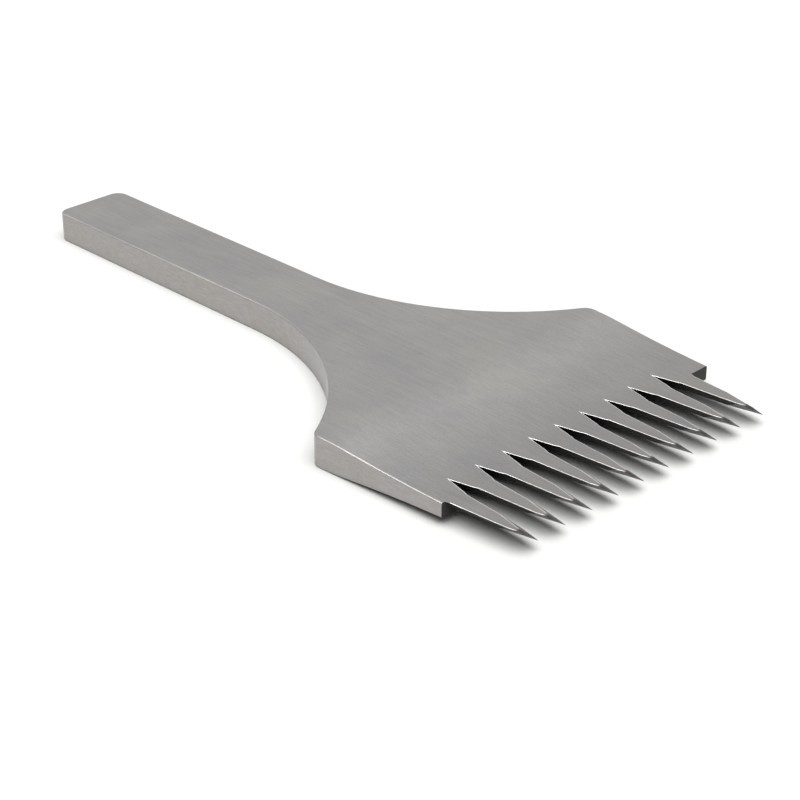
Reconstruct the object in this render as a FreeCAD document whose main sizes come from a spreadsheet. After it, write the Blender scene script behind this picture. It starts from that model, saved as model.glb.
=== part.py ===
"""Pricking iron for leather: one flat steel tool with a struck shank, a flared head and ten slanted teeth.

The body is drawn about its own mid-plane, with the tooth points on the X axis and +Y running up the
shank to the struck butt.  Its Placement then sets it flat on its underside with the origin below the
middle of its overall box.  All sizes are in millimetres.
"""

import FreeCAD
import Part
import Sketcher
import math
import os

# name, value, meaning
SIZES = [
    ("overall_length", 94.0, "tooth points to struck butt"),
    ("bar_thickness", 3.7, "thickness of the shank and the shoulders"),
    ("shank_width", 10.0, "width of the straight shank"),
    ("butt_radius", 1.5, "plan corners of the struck butt"),
    ("shoulder_margin", 1.75, "head beyond each end of the tooth row, at the shoulders"),
    ("front_margin", 0.6, "head beyond each end of the tooth row, on the line of the points"),
    ("shoulder_height", 27.2, "line of the points to the shoulder corners"),
    ("flare_length", 28.2, "shoulder corners to where the flare meets the shank"),
    ("shoulder_radius", 1.5, "plan corners of the shoulders"),
    ("edge_break", 0.2, "rounding along the outline's edges"),
    ("grind_height", 24.4, "line of the points to the upper end of the hollow grind"),
    ("grind_radius", 200.0, "radius of the hollow grind"),
    ("grind_ease", 50.0, "radius easing the hollow grind into the flat faces"),
    ("web_thickness", 1.56, "thickness left where the hollow grind is deepest"),
    ("tooth_count", 10, "number of teeth"),
    ("tooth_pitch", 4.0, "spacing of the teeth"),
    ("row_offset", -0.35, "shift of the tooth row from the middle of the head"),
    ("slant_angle", 45.0, "lean of the gaps through the thickness, from square"),
    ("gap_height", 12.0, "line of the points to the root of each gap"),
    ("step_height", 9.4, "line of the points to the front faces beside the outer teeth"),
    ("step_width", 2.76, "width of a tooth level with the front faces"),
    ("flank_height", 8.85, "line of the points to the upper end of the tooth flanks"),
    ("flank_width", 2.34, "width of a tooth at the upper end of its flanks"),
    ("point_height", 1.9, "line of the points to where the flanks draw in"),
    ("point_width", 1.2, "width of a tooth where its flanks draw in"),
    ("tip_width", 0.36, "width of a tooth on the line of the points"),
    ("facet_angle", 8.0, "slope of each ground facet against the tooth's length"),
    ("edge_land", 0.06, "width of the blunt line along each chisel edge"),
]
NODE = "pricking_iron"
SAME = 1e-6  # lengths or volumes closer than this are the same
FLAT = 0.9  # a face whose normal leans up by more than this is a broad face
UPRIGHT = 0.1  # and by less than this, a side of the outline
OVERSHOOT = 1.0  # how far a cutting profile runs clear of the metal
FACET_RUN = 8.0  # how far up a tooth the facet profile is drawn, well past where it leaves the metal
ROW_WIDTH = "sizes.tooth_count * sizes.tooth_pitch"


def make_sheet(doc):
    """Write every driving size into the spreadsheet under its own alias."""
    sheet = doc.addObject("Spreadsheet::Sheet", "sizes")
    for row, (name, value, meaning) in enumerate(SIZES, start=1):
        sheet.set(f"A{row}", meaning)
        sheet.set(f"B{row}", str(value))
        sheet.setAlias(f"B{row}", name)
    doc.recompute()
    return sheet


def new_sketch(body, name, plane_role):
    """Start a sketch on one of the body's own origin planes."""
    plane = next(item for item in body.Origin.OriginFeatures if item.Role == plane_role)
    sketch = body.newObject("Sketcher::SketchObject", name)
    sketch.AttachmentSupport = [(plane, "")]
    sketch.MapMode = "FlatFace"
    return sketch


def bind_constraint(sketch, constraint, expression):
    """Add a dimension to the sketch and drive it from the spreadsheet."""
    index = sketch.addConstraint(constraint)
    sketch.setExpression(f"Constraints[{index}]", expression)


def pin_vertex(sketch, edge, end, x_expression, y_expression):
    """Hold one end of an edge at driven coordinates."""
    point = sketch.getPoint(edge, end)
    bind_constraint(sketch, Sketcher.Constraint("DistanceX", -1, 1, edge, end, point.x), x_expression)
    bind_constraint(sketch, Sketcher.Constraint("DistanceY", -1, 1, edge, end, point.y), y_expression)


def join_ends(sketch, pairs):
    """Hold the listed edge ends together: each pair is edge, end, edge, end."""
    for pair in pairs:
        sketch.addConstraint(Sketcher.Constraint("Coincident", *pair))


def add_polygon(sketch, corners):
    """Draw a closed polygon whose corners are pairs of expressions."""
    count = len(corners)
    turn = 2 * math.pi / count
    starts = [FreeCAD.Vector(math.cos(turn * k), math.sin(turn * k), 0) for k in range(count)]
    edges = []
    for k in range(count):
        edges.append(sketch.addGeometry(Part.LineSegment(starts[k], starts[(k + 1) % count])))
    join_ends(sketch, [(edges[k], 2, edges[(k + 1) % count], 1) for k in range(count)])
    for edge, (x_expression, y_expression) in zip(edges, corners):
        pin_vertex(sketch, edge, 1, x_expression, y_expression)


def draw_outline(sketch, sheet):
    """Plan outline: front line, tapering head sides, one flare arc each side, shank and butt."""
    half_row = sheet.tooth_count * sheet.tooth_pitch / 2
    front = half_row + sheet.front_margin
    shoulder = half_row + sheet.shoulder_margin
    shank = sheet.shank_width / 2
    neck = sheet.shoulder_height + sheet.flare_length
    across = shoulder - shank
    radius = (across ** 2 + sheet.flare_length ** 2) / (2 * across)
    sweep = math.asin(sheet.flare_length / radius)
    corners = [
        FreeCAD.Vector(-front, 0, 0),
        FreeCAD.Vector(front, 0, 0),
        FreeCAD.Vector(shoulder, sheet.shoulder_height, 0),
        FreeCAD.Vector(shank, neck, 0),
        FreeCAD.Vector(shank, sheet.overall_length, 0),
        FreeCAD.Vector(-shank, sheet.overall_length, 0),
        FreeCAD.Vector(-shank, neck, 0),
        FreeCAD.Vector(-shoulder, sheet.shoulder_height, 0),
    ]
    normal = FreeCAD.Vector(0, 0, 1)
    right_circle = Part.Circle(FreeCAD.Vector(shank + radius, neck, 0), normal, radius)
    left_circle = Part.Circle(FreeCAD.Vector(-shank - radius, neck, 0), normal, radius)
    front_edge = sketch.addGeometry(Part.LineSegment(corners[0], corners[1]))
    right_side = sketch.addGeometry(Part.LineSegment(corners[1], corners[2]))
    right_flare = sketch.addGeometry(Part.ArcOfCircle(right_circle, math.pi, math.pi + sweep))
    right_shank = sketch.addGeometry(Part.LineSegment(corners[3], corners[4]))
    butt = sketch.addGeometry(Part.LineSegment(corners[4], corners[5]))
    left_shank = sketch.addGeometry(Part.LineSegment(corners[5], corners[6]))
    left_flare = sketch.addGeometry(Part.ArcOfCircle(left_circle, 2 * math.pi - sweep, 2 * math.pi))
    left_side = sketch.addGeometry(Part.LineSegment(corners[7], corners[0]))
    join_ends(
        sketch,
        [
            (front_edge, 2, right_side, 1),
            (right_side, 2, right_flare, 2),
            (right_shank, 2, butt, 1),
            (butt, 2, left_shank, 1),
            (left_flare, 1, left_side, 1),
            (left_side, 2, front_edge, 1),
        ],
    )
    sketch.addConstraint(Sketcher.Constraint("Tangent", right_flare, 1, right_shank, 1))
    sketch.addConstraint(Sketcher.Constraint("Tangent", left_shank, 2, left_flare, 2))
    half_front = f"({ROW_WIDTH} / 2 + sizes.front_margin)"
    half_shoulder = f"({ROW_WIDTH} / 2 + sizes.shoulder_margin)"
    half_shank = "(sizes.shank_width / 2)"
    neck_height = "sizes.shoulder_height + sizes.flare_length"
    pin_vertex(sketch, front_edge, 1, f"-1 * {half_front}", "0")
    pin_vertex(sketch, right_side, 1, half_front, "0")
    pin_vertex(sketch, right_side, 2, half_shoulder, "sizes.shoulder_height")
    pin_vertex(sketch, right_shank, 1, half_shank, neck_height)
    pin_vertex(sketch, butt, 1, half_shank, "sizes.overall_length")
    pin_vertex(sketch, left_shank, 1, f"-1 * {half_shank}", "sizes.overall_length")
    pin_vertex(sketch, left_shank, 2, f"-1 * {half_shank}", neck_height)
    pin_vertex(sketch, left_side, 1, f"-1 * {half_shoulder}", "sizes.shoulder_height")


def draw_grind(sketch, sheet):
    """Side profile the wheel takes off the upper face: a shallow arc eased into it, closed above it."""
    face = sheet.bar_thickness / 2
    hollow = sheet.grind_radius
    ease = sheet.grind_ease
    centre_up = sheet.web_thickness / 2 + hollow
    centre_along = sheet.grind_height - math.sqrt(hollow ** 2 - (centre_up - face) ** 2)
    ease_up = face - ease
    ease_along = centre_along + math.sqrt((hollow + ease) ** 2 - (centre_up - ease_up) ** 2)
    lean = math.atan2(centre_up - ease_up, ease_along - centre_along)
    far_angle = math.pi + math.acos((OVERSHOOT + centre_along) / hollow)
    normal = FreeCAD.Vector(0, 0, 1)
    hollow_circle = Part.Circle(FreeCAD.Vector(centre_along, centre_up, 0), normal, hollow)
    ease_circle = Part.Circle(FreeCAD.Vector(ease_along, ease_up, 0), normal, ease)
    hollow_arc = sketch.addGeometry(Part.ArcOfCircle(hollow_circle, far_angle, 2 * math.pi - lean))
    ease_arc = sketch.addGeometry(Part.ArcOfCircle(ease_circle, math.pi / 2, math.pi - lean))
    near_end = FreeCAD.Vector(ease_along, face, 0)
    near_top = FreeCAD.Vector(ease_along, face + OVERSHOOT, 0)
    far_top = FreeCAD.Vector(-OVERSHOOT, face + OVERSHOOT, 0)
    rise = sketch.addGeometry(Part.LineSegment(near_end, near_top))
    lid = sketch.addGeometry(Part.LineSegment(near_top, far_top))
    drop = sketch.addGeometry(Part.LineSegment(far_top, sketch.getPoint(hollow_arc, 1)))
    join_ends(sketch, [(rise, 2, lid, 1), (lid, 2, drop, 1), (drop, 2, hollow_arc, 1)])
    sketch.addConstraint(Sketcher.Constraint("Tangent", hollow_arc, 2, ease_arc, 2))
    sketch.addConstraint(Sketcher.Constraint("Perpendicular", ease_arc, 1, rise, 1))
    sketch.addConstraint(Sketcher.Constraint("Vertical", rise))
    sketch.addConstraint(Sketcher.Constraint("Horizontal", lid))
    sketch.addConstraint(Sketcher.Constraint("Vertical", drop))
    bind_constraint(sketch, Sketcher.Constraint("Radius", hollow_arc, hollow), "sizes.grind_radius")
    bind_constraint(sketch, Sketcher.Constraint("Radius", ease_arc, ease), "sizes.grind_ease")
    half_bar = "sizes.bar_thickness / 2"
    wheel_height = "sizes.grind_radius + sizes.web_thickness / 2"
    half_chord = f"sqrt(sizes.grind_radius ^ 2 - ({wheel_height} - {half_bar}) ^ 2)"
    wheel_along = Sketcher.Constraint("DistanceX", -1, 1, hollow_arc, 3, centre_along)
    wheel_up = Sketcher.Constraint("DistanceY", -1, 1, hollow_arc, 3, centre_up)
    face_up = Sketcher.Constraint("DistanceY", -1, 1, rise, 1, face)
    bind_constraint(sketch, wheel_along, f"sizes.grind_height - {half_chord}")
    bind_constraint(sketch, wheel_up, wheel_height)
    bind_constraint(sketch, face_up, half_bar)
    pin_vertex(sketch, drop, 1, f"-{OVERSHOOT}", f"{half_bar} + {OVERSHOOT}")


def wall_points(centre, side):
    """Corners down one wall of a gap, from the front face's level to below the points.

    centre is the middle of the gap as an expression; side is "+" or "-" for the wall's side of it.
    """
    levels = [
        ("sizes.step_width", "sizes.step_height"),
        ("sizes.flank_width", "sizes.flank_height"),
        ("sizes.point_width", "sizes.point_height"),
        ("sizes.tip_width", "0"),
        ("sizes.tip_width", f"-{OVERSHOOT}"),
    ]
    return [(f"{centre} {side} (sizes.tooth_pitch - {width}) / 2", height) for width, height in levels]


def draw_gap(sketch):
    """The first gap between two teeth: a narrow vee root that opens along the tooth flanks."""
    centre = "sizes.row_offset - sizes.tooth_pitch * (sizes.tooth_count / 2 - 1)"
    root = (centre, "sizes.gap_height")
    right_wall = wall_points(centre, "+")
    left_wall = wall_points(centre, "-")
    add_polygon(sketch, [root] + right_wall + left_wall[::-1])


def draw_notches(sketch):
    """The metal removed outside the first and last teeth, up to the square front faces."""
    slant_shift = "sizes.bar_thickness * tan(sizes.slant_angle * 1 deg)"
    clear = f"({ROW_WIDTH} / 2 + sizes.shoulder_margin + {slant_shift} + {OVERSHOOT})"
    for outward, inward in (("-", "+"), ("+", "-")):
        centre = f"sizes.row_offset {outward} {ROW_WIDTH} / 2"
        outer = [(f"{outward}1 * {clear}", f"-{OVERSHOOT}"), (f"{outward}1 * {clear}", "sizes.step_height")]
        add_polygon(sketch, wall_points(centre, inward) + outer)


def draw_facets(sketch):
    """Seen along a chisel edge: the two wedges of metal ground off to bring the tooth to that edge."""
    land = "sizes.edge_land / 2"
    reach = f"({land} + {FACET_RUN} * tan(sizes.facet_angle * 1 deg))"
    for side in ("", "-"):
        add_polygon(
            sketch,
            [
                (f"-{OVERSHOOT}", f"{side}{land}"),
                ("0", f"{side}{land}"),
                (f"{FACET_RUN}", f"{side}{reach}"),
                (f"-{OVERSHOOT}", f"{side}{reach}"),
            ],
        )


def add_pad(body, sketch):
    """Raise the outline evenly to both sides of the mid-plane."""
    pad = body.newObject("PartDesign::Pad", "bar")
    pad.Profile = sketch
    pad.SideType = "Symmetric"
    pad.setExpression("Length", "sizes.bar_thickness")
    return pad


def add_pocket(body, sketch, name, length):
    """Cut a profile evenly to both sides of its sketch."""
    pocket = body.newObject("PartDesign::Pocket", name)
    pocket.Profile = sketch
    pocket.SideType = "Symmetric"
    pocket.setExpression("Length", length)
    return pocket


def add_slanted_pocket(body, sketch, name):
    """Cut a plan profile through the thickness along the slant of the gaps."""
    pocket = add_pocket(body, sketch, name, f"sizes.bar_thickness + {OVERSHOOT}")
    pocket.UseCustomVector = True
    pocket.AlongSketchNormal = True
    pocket.Direction = FreeCAD.Vector(-1, 0, 1)
    pocket.setExpression("Direction.x", "-tan(sizes.slant_angle * 1 deg)")
    return pocket


def add_row(body, feature, plan, name, count):
    """Repeat a feature along the tooth row, which runs along the plan sketch's own X axis."""
    row = body.newObject("PartDesign::LinearPattern", name)
    row.Originals = [feature]
    row.Direction = (plan, ["H_Axis"])
    row.setExpression("Occurrences", count)
    row.setExpression("Length", f"sizes.tooth_pitch * ({count} - 1)")
    body.Tip = row


def add_rounding(body, base, edges, name, radius):
    """Round the listed edges of the feature before it."""
    rounding = body.newObject("PartDesign::Fillet", name)
    rounding.Base = (base, edges)
    rounding.setExpression("Radius", radius)
    return rounding


def upright_edges(shape, height):
    """Names of the straight edges along the thickness at one distance from the points."""
    found = []
    for number, edge in enumerate(shape.Edges, start=1):
        ends = [vertex.Point for vertex in edge.Vertexes]
        upright = len(ends) == 2 and (ends[0] - ends[1]).cross(FreeCAD.Vector(0, 0, 1)).Length < SAME
        if upright and abs(ends[0].y - height) < SAME:
            found.append(f"Edge{number}")
    return found


def rim_edges(shape):
    """Names of the edges where the outline's sides meet the upper and lower faces, front line left out."""
    found = []
    for number, edge in enumerate(shape.Edges, start=1):
        middle = edge.valueAt((edge.FirstParameter + edge.LastParameter) / 2)
        tilts = []
        for face in shape.ancestorsOfType(edge, Part.Face):
            tilts.append(abs(face.normalAt(*face.Surface.parameter(middle)).z))
        if min(tilts) < UPRIGHT and max(tilts) > FLAT and middle.y > SAME:
            found.append(f"Edge{number}")
    return found


def cut_grinds(body, outline, sheet):
    """Hollow-grind both faces of the head with the same profile, and return the second grind."""
    grind_profile = new_sketch(body, "grind_profile", "YZ_Plane")
    draw_grind(grind_profile, sheet)
    grind = add_pocket(body, grind_profile, "upper_grind", f"2 * ({ROW_WIDTH} + sizes.shoulder_margin)")
    grinds = body.newObject("PartDesign::Mirrored", "both_grinds")
    grinds.Originals = [grind]
    grinds.MirrorPlane = (outline.AttachmentSupport[0][0], [""])
    body.Tip = grinds
    return grinds


def cut_gaps(body):
    """Cut the slanted gaps between the teeth, then the clearance outside the end teeth."""
    gap_profile = new_sketch(body, "gap_profile", "XY_Plane")
    draw_gap(gap_profile)
    gap = add_slanted_pocket(body, gap_profile, "first_gap")
    add_row(body, gap, gap_profile, "gaps", "(sizes.tooth_count - 1)")
    notch_profile = new_sketch(body, "notch_profile", "XY_Plane")
    draw_notches(notch_profile)
    add_slanted_pocket(body, notch_profile, "end_notches")


def grind_points(body, outline, sheet):
    """Grind two facets on the first tooth, square to its chisel edge, and repeat them on the others.

    The edge joins the two far corners of the tooth's slanted section, so the profile is turned to it.
    """
    half_web = "(sizes.web_thickness / 2)"
    half_edge = f"({half_web} * tan(sizes.slant_angle * 1 deg) + sizes.tip_width / 2)"
    first_tooth = "sizes.row_offset - sizes.tooth_pitch * (sizes.tooth_count - 1) / 2"
    facet_profile = new_sketch(body, "facet_profile", "YZ_Plane")
    lean = FreeCAD.Rotation(FreeCAD.Vector(1, 0, 0), sheet.slant_angle)
    facet_profile.AttachmentOffset = FreeCAD.Placement(FreeCAD.Vector(0, 0, 0), lean)
    facet_profile.setExpression("AttachmentOffset.Base.z", first_tooth)
    facet_profile.setExpression("AttachmentOffset.Rotation.Angle", f"atan({half_web} / {half_edge})")
    draw_facets(facet_profile)
    facets = add_pocket(body, facet_profile, "first_facets", "2 * sizes.bar_thickness")
    add_row(body, facets, outline, "points", "sizes.tooth_count")


def build_iron(doc, sheet):
    """Make the one steel body from bar to finished points, in the order it is worked."""
    body = doc.addObject("PartDesign::Body", NODE)
    body.Label = NODE
    body.setExpression("Placement.Base.y", "-sizes.overall_length / 2")
    body.setExpression("Placement.Base.z", "sizes.bar_thickness / 2")

    outline = new_sketch(body, "outline", "XY_Plane")
    draw_outline(outline, sheet)
    bar = add_pad(body, outline)
    doc.recompute()
    shoulders = upright_edges(bar.Shape, sheet.shoulder_height)
    shoulder_corners = add_rounding(body, bar, shoulders, "shoulder_corners", "sizes.shoulder_radius")
    doc.recompute()
    butts = upright_edges(shoulder_corners.Shape, sheet.overall_length)
    add_rounding(body, shoulder_corners, butts, "butt_corners", "sizes.butt_radius")

    grinds = cut_grinds(body, outline, sheet)
    doc.recompute()
    add_rounding(body, grinds, rim_edges(grinds.Shape), "broken_edges", "sizes.edge_break")
    cut_gaps(body)
    grind_points(body, outline, sheet)
    doc.recompute()
    return body


def check_document(doc, body):
    """Stop if any object failed to build or a cutting feature removed nothing."""
    for item in doc.Objects:
        if "Invalid" in item.State or "Error" in item.State:
            raise RuntimeError(f"{item.Name} did not build: {item.State}")
    if body.Shape.isNull() or not body.Shape.isValid() or len(body.Shape.Solids) != 1:
        raise RuntimeError("the iron is not one valid solid")
    volume = None
    for feature in body.Group:
        if not feature.isDerivedFrom("PartDesign::Feature"):
            continue
        if volume is not None and feature.Shape.Volume > volume - SAME:
            raise RuntimeError(f"{feature.Name} removed nothing")
        volume = feature.Shape.Volume


def main():
    """Build the document, check it and write one STEP file."""
    doc = FreeCAD.newDocument("pricking_iron")
    sheet = make_sheet(doc)
    body = build_iron(doc, sheet)
    check_document(doc, body)
    os.makedirs("parts", exist_ok=True)
    body.Shape.exportStep(f"parts/{body.Label}.step")


main()
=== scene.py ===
"""A leatherworker's pricking iron, lying on a pale table under soft studio light.

One piece of tool steel: a struck shank, a flared head hollow-ground on both faces, and ten slanted teeth.
Lengths are in metres unless a name ends in _mm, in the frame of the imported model.
"""

import math

import bmesh
import bpy
import numpy as np
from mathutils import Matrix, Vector


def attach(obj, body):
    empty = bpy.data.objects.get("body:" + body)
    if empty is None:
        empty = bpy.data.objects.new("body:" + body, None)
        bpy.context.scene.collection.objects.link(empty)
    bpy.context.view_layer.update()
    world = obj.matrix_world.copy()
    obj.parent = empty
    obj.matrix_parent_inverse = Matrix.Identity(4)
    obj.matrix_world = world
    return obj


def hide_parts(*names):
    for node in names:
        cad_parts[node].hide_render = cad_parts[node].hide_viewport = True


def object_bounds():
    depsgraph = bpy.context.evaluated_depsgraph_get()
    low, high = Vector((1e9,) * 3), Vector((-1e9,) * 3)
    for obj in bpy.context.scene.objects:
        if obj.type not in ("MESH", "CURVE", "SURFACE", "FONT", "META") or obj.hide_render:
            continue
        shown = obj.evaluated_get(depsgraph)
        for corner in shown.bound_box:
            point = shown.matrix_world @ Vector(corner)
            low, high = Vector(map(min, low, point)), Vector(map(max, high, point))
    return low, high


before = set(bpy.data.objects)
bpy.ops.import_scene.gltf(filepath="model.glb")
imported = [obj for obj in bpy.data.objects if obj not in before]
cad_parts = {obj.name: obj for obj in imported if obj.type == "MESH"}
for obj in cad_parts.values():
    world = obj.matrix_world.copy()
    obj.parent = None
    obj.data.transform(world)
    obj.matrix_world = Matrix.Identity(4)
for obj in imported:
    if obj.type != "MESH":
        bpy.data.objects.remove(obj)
cad_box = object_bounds()


# Iron: one bar of hardened tool steel, milled to its outline, hollow-ground on both faces, then wire-cut
# between the teeth and ground to points.  A fine stone has broken the cut edges of the teeth.  The mesh is
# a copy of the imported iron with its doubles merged, bevelled along the teeth only.
MM = 0.001
points_line = cad_box[0].y
gap_root = points_line + 12.2 * MM  # just past the roots of the gaps
row_half = 20.4 * MM  # just past the outer sides of the end teeth
end_clear = points_line + 0.1 * MM  # the stone leaves the chisel edges alone
stoned_width = 0.07 * MM
seam = 0.002 * MM  # corners closer than this are one corner
same_plane = math.radians(0.2)
sharp_corner = math.radians(24)  # edges that turn more than this are sharp

iron = bpy.data.objects.new("stoned_iron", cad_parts["pricking_iron"].data.copy())
bpy.context.scene.collection.objects.link(iron)
shell = bmesh.new()
shell.from_mesh(iron.data)
bmesh.ops.remove_doubles(shell, verts=shell.verts, dist=seam)
bmesh.ops.dissolve_limit(shell, angle_limit=same_plane, verts=shell.verts, edges=shell.edges)
for face in shell.faces:
    face.smooth = True
stoned_weight = shell.edges.layers.float.new("bevel_weight_edge")
for edge in shell.edges:
    on_tooth = all(end_clear < end.co.y < gap_root + seam and abs(end.co.x) < row_half for end in edge.verts)
    if on_tooth and edge.calc_face_angle(0.0) > sharp_corner:
        edge[stoned_weight] = 1.0
shell.to_mesh(iron.data)
shell.free()
iron.data.set_sharp_from_angle(angle=sharp_corner)

stoning = iron.modifiers.new("stoned_edges", "BEVEL")
stoning.limit_method = "WEIGHT"
stoning.width = stoned_width
stoning.segments = 3
stoning.use_clamp_overlap = False
evening = iron.modifiers.new("even_shading", "WEIGHTED_NORMAL")
evening.keep_sharp = True

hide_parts("pricking_iron")
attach(iron, "root")


def linear(hex_colour):
    """sRGB hex to the linear colour that shaders take."""
    channels = [int(hex_colour[k:k + 2], 16) / 255 for k in (1, 3, 5)]
    return tuple(c / 12.92 if c <= 0.04045 else ((c + 0.055) / 1.055) ** 2.4 for c in channels) + (1.0,)


def add_node(tree, kind, inputs, **settings):
    """Add one node: settings go on the node, and each input takes a value or the socket that feeds it."""
    node = tree.nodes.new(kind)
    for name, value in settings.items():
        setattr(node, name, value)
    for name, value in inputs.items():
        if isinstance(value, bpy.types.NodeSocket):
            tree.links.new(value, node.inputs[name])
        else:
            node.inputs[name].default_value = value
    return node


# Steel finishes: every surface is the same bare steel, and only the tool that cut it differs.
noise_range = (0.35, 0.65)  # nearly all of a noise texture's values lie between these
grit_mm = 0.22  # a wheel's grit is nearer 0.06 mm, drawn coarser so that it shows
grit_share = 0.4
handled_mm = 7.0  # about the size of a finger mark
cool_touch, warm_touch = "#FDFCFE", "#FFFDFA"
# Painted shade: the hollow is painted darker towards the gap roots.
gap_shade_start = points_line + 22 * MM  # from here to the gap roots the hollow is a little darker
gap_shade_end = points_line + 10.2 * MM
# Painted reflection: the last millimetre of each tooth is painted dark, with a ragged border.
painted_tip_reflection = "#4A4644"
painted_tip_end = points_line + 1.0 * MM  # painted dark reflection over the last millimetre of each tooth
painted_tip_blend = 0.3 * MM
tip_raggedness = 0.4 * MM


def worked_steel(name, dark, light, mark_mm, depth_mm, roughness_range, metal=1.0, painted_gap_shade=0.0):
    """Bare steel marked by the tool that cut it.

    Two noises are blended for the marks: one stretched to mark_mm, the width and length of one mark across
    and along the iron, and one as fine as the grit.  The blend runs the colour from dark to light and
    raises the surface by depth_mm.  A third, broad noise tints the steel and takes its roughness through
    roughness_range, as handling does.  The last argument is painted shade: the share of light taken off
    the hollow towards the gap roots.
    """
    material = bpy.data.materials.new(name)
    material.use_nodes = True
    tree = material.node_tree
    tree.nodes.clear()
    low, high = noise_range
    place = add_node(tree, "ShaderNodeTexCoord", {})
    place_mm = add_node(tree, "ShaderNodeVectorMath", {
        0: place.outputs["Object"],
        "Scale": 1 / MM,
    }, operation="SCALE")
    along_iron = add_node(tree, "ShaderNodeSeparateXYZ", {"Vector": place.outputs["Object"]})

    across_mm, along_mm = mark_mm
    marks_at = add_node(tree, "ShaderNodeMapping", {
        "Vector": place_mm.outputs["Vector"],
        "Scale": (1 / across_mm, 1 / along_mm, 1 / across_mm),
    })
    marks = add_node(tree, "ShaderNodeTexNoise", {
        "Vector": marks_at.outputs["Vector"],
        "Scale": 1.0,
        "Detail": 3.0,
        "Roughness": 0.6,
    })
    grit = add_node(tree, "ShaderNodeTexNoise", {
        "Vector": place_mm.outputs["Vector"],
        "Scale": 1 / grit_mm,
        "Detail": 2.0,
    })
    handled = add_node(tree, "ShaderNodeTexNoise", {
        "Vector": place_mm.outputs["Vector"],
        "Scale": 1 / handled_mm,
        "Detail": 4.0,
        "Roughness": 0.55,
    })
    texture = add_node(tree, "ShaderNodeMix", {
        0: grit_share,
        2: marks.outputs["Fac"],
        3: grit.outputs["Fac"],
    })

    tone = add_node(tree, "ShaderNodeMapRange", {
        "Value": texture.outputs[0],
        "From Min": low,
        "From Max": high,
    })
    colour = add_node(tree, "ShaderNodeMix", {
        0: tone.outputs["Result"],
        6: linear(dark),
        7: linear(light),
    }, data_type="RGBA")
    patch = add_node(tree, "ShaderNodeMapRange", {
        "Value": handled.outputs["Fac"],
        "From Min": low,
        "From Max": high,
    })
    tint = add_node(tree, "ShaderNodeMix", {
        0: patch.outputs["Result"],
        6: linear(cool_touch),
        7: linear(warm_touch),
    }, data_type="RGBA")
    tinted = add_node(tree, "ShaderNodeMix", {
        0: 1.0,
        6: colour.outputs[2],
        7: tint.outputs[2],
    }, data_type="RGBA", blend_type="MULTIPLY")

    # Painted shade: the colour darkens towards the gap roots.
    towards_gaps = add_node(tree, "ShaderNodeMapRange", {
        "Value": along_iron.outputs["Y"],
        "From Min": gap_shade_end,
        "From Max": gap_shade_start,
        "To Min": 1 - painted_gap_shade,
        "To Max": 1.0,
    })
    gap_shaded = add_node(tree, "ShaderNodeVectorMath", {
        0: tinted.outputs[2],
        "Scale": towards_gaps.outputs["Result"],
    }, operation="SCALE")
    # Painted dark reflection at the points, its border made ragged by the marks.
    ragged = add_node(tree, "ShaderNodeMath", {
        0: marks.outputs["Fac"],
        1: tip_raggedness,
        2: along_iron.outputs["Y"],
    }, operation="MULTIPLY_ADD")
    off_tip = add_node(tree, "ShaderNodeMapRange", {
        "Value": ragged.outputs["Value"],
        "From Min": painted_tip_end,
        "From Max": painted_tip_end + painted_tip_blend,
    })
    darkened = add_node(tree, "ShaderNodeMix", {
        0: off_tip.outputs["Result"],
        6: linear(painted_tip_reflection),
        7: gap_shaded.outputs["Vector"],
    }, data_type="RGBA")

    sheen = add_node(tree, "ShaderNodeMapRange", {
        "Value": handled.outputs["Fac"],
        "From Min": low,
        "From Max": high,
        "To Min": roughness_range[0],
        "To Max": roughness_range[1],
    })
    relief = add_node(tree, "ShaderNodeBump", {
        "Height": texture.outputs[0],
        "Distance": depth_mm * MM,
        "Strength": 1.0,
    })
    steel = add_node(tree, "ShaderNodeBsdfPrincipled", {
        "Base Color": darkened.outputs[2],
        "Metallic": metal,
        "Roughness": sheen.outputs["Result"],
        "Normal": relief.outputs["Normal"],
    })
    add_node(tree, "ShaderNodeOutputMaterial", {"Surface": steel.outputs["BSDF"]})
    return material


finishes = [
    # Broad faces and hollows, ground on a wheel along the iron: satin, with fine lines.
    # Its hollow is painted darker towards the gap roots: painted shade.
    worked_steel("wheel_ground_steel", "#979695", "#A4A3A2", (0.2, 5.0), 0.003, (0.375, 0.41), painted_gap_shade=0.18),
    # Sides and their broken edges, linished on a belt: satin, with shorter marks.
    worked_steel("linished_steel", "#9A9896", "#A8A6A4", (0.25, 1.5), 0.003, (0.38, 0.48)),
    # Gap walls and front faces, wire-cut by spark: dull, with no lines.
    # Their near-black colour is partly the cut finish and partly painted shade.
    worked_steel("wire_cut_and_shade_steel", "#1A1919", "#262525", (0.15, 0.2), 0.004, (0.65, 0.75), metal=0.2),
    # Facets at the points, ground last and handled least: smoother and brighter.
    worked_steel("ground_point_steel", "#A3A2A1", "#B5B4B3", (0.15, 0.6), 0.002, (0.3, 0.36)),
    # Tooth edges broken by hand on a fine stone: a thin bright line.
    worked_steel("stoned_steel", "#C8C7C6", "#DAD9D8", (0.2, 1.0), 0.001, (0.48, 0.55)),
]
iron.data.materials.clear()
for finish in finishes:
    iron.data.materials.append(finish)
ground, linished, wire_cut_and_shade, ground_point, stoned = range(len(finishes))
stoning.material = stoned

# Which tool cut a face is told by how flat it lies, from 0 upright to 1 level, and by where it is.
front_step = points_line + 9.4 * MM
facet_end = points_line + 5.0 * MM
broad_face = 0.95
facet_face = 0.735  # the gap walls lie at 45 degrees, and the facets a little flatter
forward_face = 0.9

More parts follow.
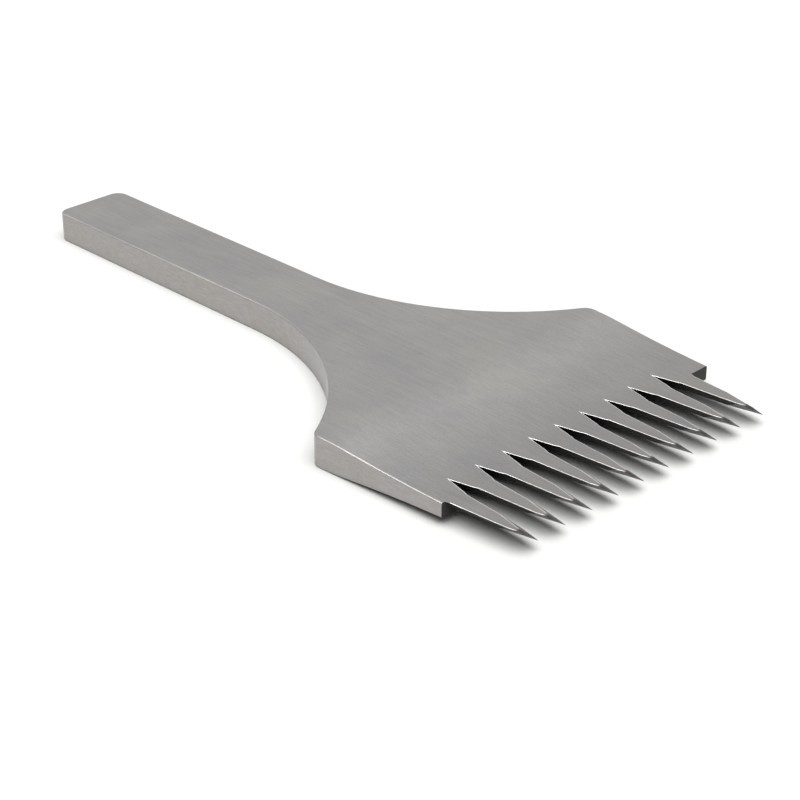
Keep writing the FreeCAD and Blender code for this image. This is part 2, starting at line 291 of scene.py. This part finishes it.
face_count = len(iron.data.polygons)
normals = np.empty(face_count * 3, np.float32)
middles = np.empty(face_count * 3, np.float32)
iron.data.polygons.foreach_get("normal", normals)
iron.data.polygons.foreach_get("center", middles)
normals = normals.reshape(-1, 3)
middles = middles.reshape(-1, 3)
flatness = np.abs(normals[:, 2])
in_row = (middles[:, 1] < gap_root) & (np.abs(middles[:, 0]) < row_half)
on_step = (normals[:, 1] < -forward_face) & (middles[:, 1] < front_step + seam)
on_point = (flatness > facet_face) & (middles[:, 1] < facet_end)
finish_of = np.full(face_count, ground, np.int32)
finish_of[flatness < broad_face] = linished
# Gap walls and front faces take the near-black finish, partly painted shade.
finish_of[(flatness < broad_face) & (in_row | on_step)] = wire_cut_and_shade
finish_of[(flatness < broad_face) & in_row & on_point] = ground_point
iron.data.polygons.foreach_set("material_index", finish_of)


# Table: a plain painted board under the iron, larger than any view of it.
# The paint is matt and mid-toned, and the light brings it up to white while its shadows stay deep.
table_half = 2.0
table_top = cad_box[0].z
corners = [(x * table_half, y * table_half, table_top) for x, y in ((-1, -1), (1, -1), (1, 1), (-1, 1))]
board = bpy.data.meshes.new("table")
board.from_pydata(corners, [], [(0, 1, 2, 3)])
table = bpy.data.objects.new("table", board)
bpy.context.scene.collection.objects.link(table)
paint = bpy.data.materials.new("matt_board_paint")
paint.use_nodes = True
paint_shader = paint.node_tree.nodes["Principled BSDF"]
paint_shader.inputs["Base Color"].default_value = linear("#949493")
paint_shader.inputs["Roughness"].default_value = 0.9
paint_shader.inputs["Specular IOR Level"].default_value = 0.2
board.materials.append(paint)


# Light: a white tent all round, dimmest 27 degrees above the horizon and brightest at 35.
# One broad soft lamp hangs almost overhead, tilted a little toward the camera.
studio = bpy.data.worlds.new("light_tent")
bpy.context.scene.world = studio
studio.use_nodes = True
tent = studio.node_tree
tent.nodes.clear()
direction = add_node(tent, "ShaderNodeTexCoord", {})
height = add_node(tent, "ShaderNodeSeparateXYZ", {"Vector": direction.outputs["Generated"]})
ramp = add_node(tent, "ShaderNodeValToRGB", {"Fac": height.outputs["Z"]})
levels = [(0.0, 0.78), (0.2, 0.58), (0.46, 0.51), (0.57, 0.95), (1.0, 0.78)]
while len(ramp.color_ramp.elements) < len(levels):
    ramp.color_ramp.elements.new(0.5)
for element, (position, level) in zip(ramp.color_ramp.elements, levels):
    element.position = position
    element.color = (level, level, level, 1.0)
glow = add_node(tent, "ShaderNodeBackground", {"Color": ramp.outputs["Color"], "Strength": 1.0})
add_node(tent, "ShaderNodeOutputWorld", {"Surface": glow.outputs["Background"]})

lamp_spread = math.radians(66)
lamp_tilt = math.radians(12)
key = bpy.data.lights.new("overhead_key", "SUN")
key.angle = lamp_spread
key.energy = 9.0
lamp = bpy.data.objects.new("overhead_key", key)
towards_lamp = Vector((-math.sin(lamp_tilt), -math.sin(lamp_tilt), math.cos(lamp_tilt)))
lamp.rotation_euler = towards_lamp.to_track_quat("Z", "Y").to_euler()
bpy.context.scene.collection.objects.link(lamp)


# Camera: looks down on the iron from beyond its points, to the left of the row of teeth.
azimuth = math.radians(-44.703)
elevation = math.radians(27.936)
back = Vector((
    math.sin(azimuth) * math.cos(elevation),
    -math.cos(azimuth) * math.cos(elevation),
    math.sin(elevation),
))
lens = bpy.data.cameras.new("camera")
lens.lens = 89.65
lens.sensor_width = 36.0
lens.clip_start = 0.01
lens.clip_end = 20.0
camera = bpy.data.objects.new("camera", lens)
camera.location = (-0.140962, -0.153078, 0.10235)
camera.rotation_mode = "QUATERNION"
camera.rotation_quaternion = (-back).to_track_quat("-Z", "Y")
bpy.context.scene.collection.objects.link(camera)
bpy.context.scene.camera = camera
bpy.context.scene.view_settings.view_transform = "Standard"
